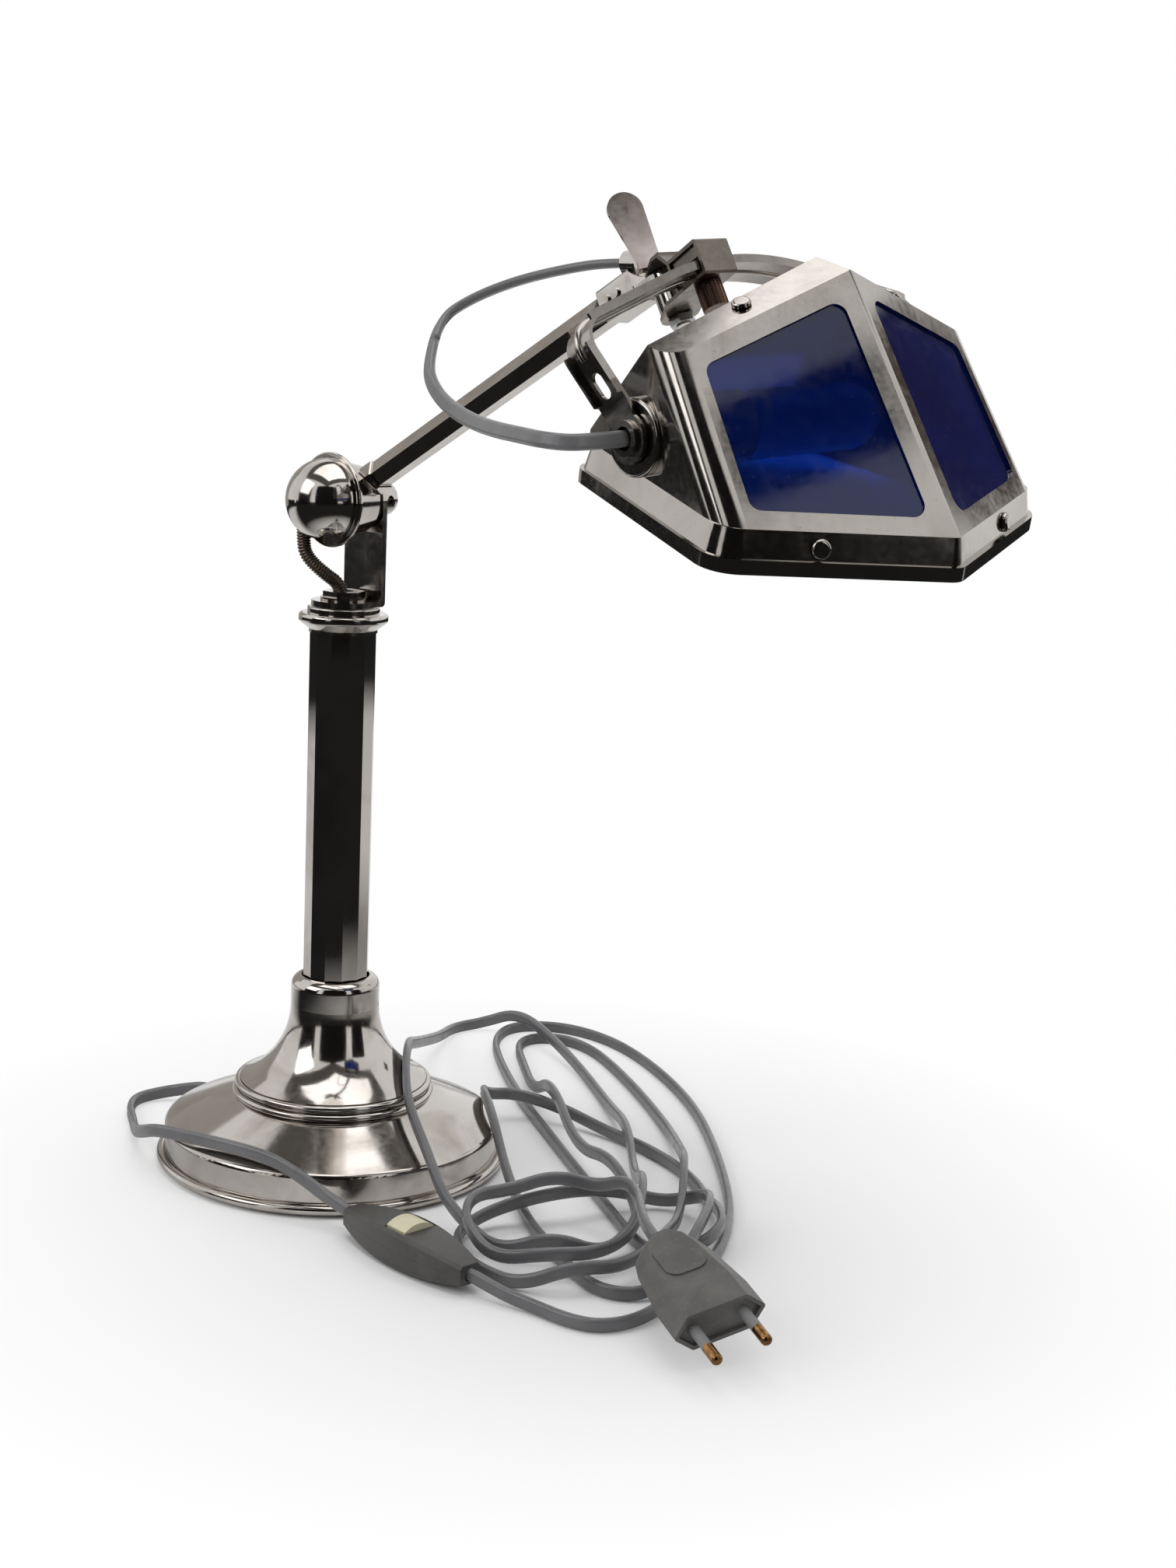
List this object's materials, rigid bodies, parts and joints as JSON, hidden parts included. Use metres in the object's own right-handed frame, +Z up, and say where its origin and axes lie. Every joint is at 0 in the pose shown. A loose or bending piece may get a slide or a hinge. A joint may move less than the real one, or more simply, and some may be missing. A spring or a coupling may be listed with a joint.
{
  "type": "desk lamp",
  "caption": "Metal desk lamp with a weighted base, a ball-jointed swing arm, a clamped yoke and a faceted shade with glass panes, with its cord, hand switch and plug.",
  "frame": {"origin": "on the floor at the middle of the round base", "axes": "+Z up, the arm points along +X as it stands, the ball joint's round cap faces -Y"},
  "size_m": [0.388, 0.2813, 0.3778],
  "materials": {
    "nickel": "nickel plated, polished and worn",
    "steel": "bare steel",
    "iron": "as cast",
    "felt": "felt",
    "bronze": "dark bronzed, ribbed",
    "blackened": "blackened",
    "blue_glass": "cobalt blue, clear",
    "bulb_glass": "frosted",
    "brass": "plain",
    "bakelite": "dark moulded",
    "grey_plastic": "dark grey moulded",
    "cream_plastic": "cream moulded",
    "cord": "grey sheathed flat cord"
  },
  "bodies": {
    "base": {"base_pad": "felt", "base_shell": "nickel", "base_ballast": "iron", "base_bell": "nickel", "column_tube": "nickel", "tie_tube": "steel", "base_washer": "steel", "base_nut": "steel", "column_collar": "nickel", "swivel_nut": "nickel", "cable_grommet": "bakelite", "mains_cord_lead": "cord", "mains_cord": "cord", "switch_lower": "grey_plastic", "switch_upper": "grey_plastic", "plug_body": "grey_plastic", "plug_pins": "brass"},
    "bracket": {"arm_bracket": "nickel", "cable_conduit": "bronze"},
    "arm": {"ball_drum": "nickel", "ball_ring": "nickel", "ball_cap": "nickel", "pivot_stud": "steel", "spring_washer": "steel", "arm_sleeve": "nickel", "arm_tube": "nickel", "arm_knuckle": "nickel", "knuckle_screws": "nickel", "head_cord_rear": "cord"},
    "knob": {"pivot_knob": "nickel"},
    "clip": {"clip_box": "nickel", "clip_saddle": "steel", "head_bolt": "nickel", "head_nut": "steel"},
    "lever": {"thumb_lever": "nickel"},
    "clip_screw": {"clip_thumbscrew": "blackened"},
    "yoke": {"yoke_strap": "nickel", "pivot_washers": "steel", "head_cord_front": "cord"},
    "shade": {"shade_shell": "nickel", "glass_left": "blue_glass", "glass_right": "blue_glass", "glass_tabs": "steel", "shade_screws": "nickel", "pivot_bosses": "nickel", "pivot_eyelets": "nickel", "pivot_nut": "steel", "lampholder_shell": "brass", "lampholder_core": "bakelite", "bulb_cap": "brass", "bulb_glass": "bulb_glass"},
    "rocker": {"switch_rocker": "cream_plastic"}
  },
  "joints": [
    {"name": "bracket_swivel", "type": "hinge", "parent": "base", "child": "bracket", "pos_m": [0, 0, 0.22], "axis": [0, 0, 1], "range_deg": [-170, 170]},
    {"name": "arm_tilt", "type": "hinge", "parent": "bracket", "child": "arm", "pos_m": [0, 0, 0.2647], "axis": [0, -1, 0], "range_deg": [-50, 45]},
    {"name": "knob_turn", "type": "hinge", "parent": "arm", "child": "knob", "pos_m": [0, 0.017, 0.2647], "axis": [0, 1, 0], "continuous": true},
    {"name": "head_swivel", "type": "hinge", "parent": "arm", "child": "clip", "pos_m": [0.15767, 0, 0.35318], "axis": [-0.4894, 0, 0.8721], "range_deg": [-40, 60], "deforming": ["head_cord_rear", "head_cord_front"]},
    {"name": "lever_turn", "type": "hinge", "parent": "clip", "child": "lever", "pos_m": [0.15743, 0, 0.35362], "axis": [-0.4894, 0, 0.8721], "range_deg": [-5, 60]},
    {"name": "clip_screw_turn", "type": "hinge", "parent": "clip", "child": "clip_screw", "pos_m": [0.18568, -0.00876, 0.34665], "axis": [0.4894, 0, -0.8721], "continuous": true},
    {"name": "strap_slide", "type": "hinge", "parent": "clip", "child": "yoke", "pos_m": [0.23127, 0.00159, 0.26901], "axis": [0.8599, -0.1668, 0.4825], "range_deg": [-6, 16], "deforming": ["head_cord_front"]},
    {"name": "shade_tilt", "type": "hinge", "parent": "yoke", "child": "shade", "pos_m": [0.21021, 0.00159, 0.30652], "axis": [0.1454, 0.986, 0.0816], "range_deg": [-30, 45]},
    {"name": "rocker_tilt", "type": "hinge", "parent": "base", "child": "rocker", "pos_m": [0.1024, -0.0502, 0.0058], "axis": [0.9978, -0.0659, 0], "range_deg": [-6, 6]}
  ]
}
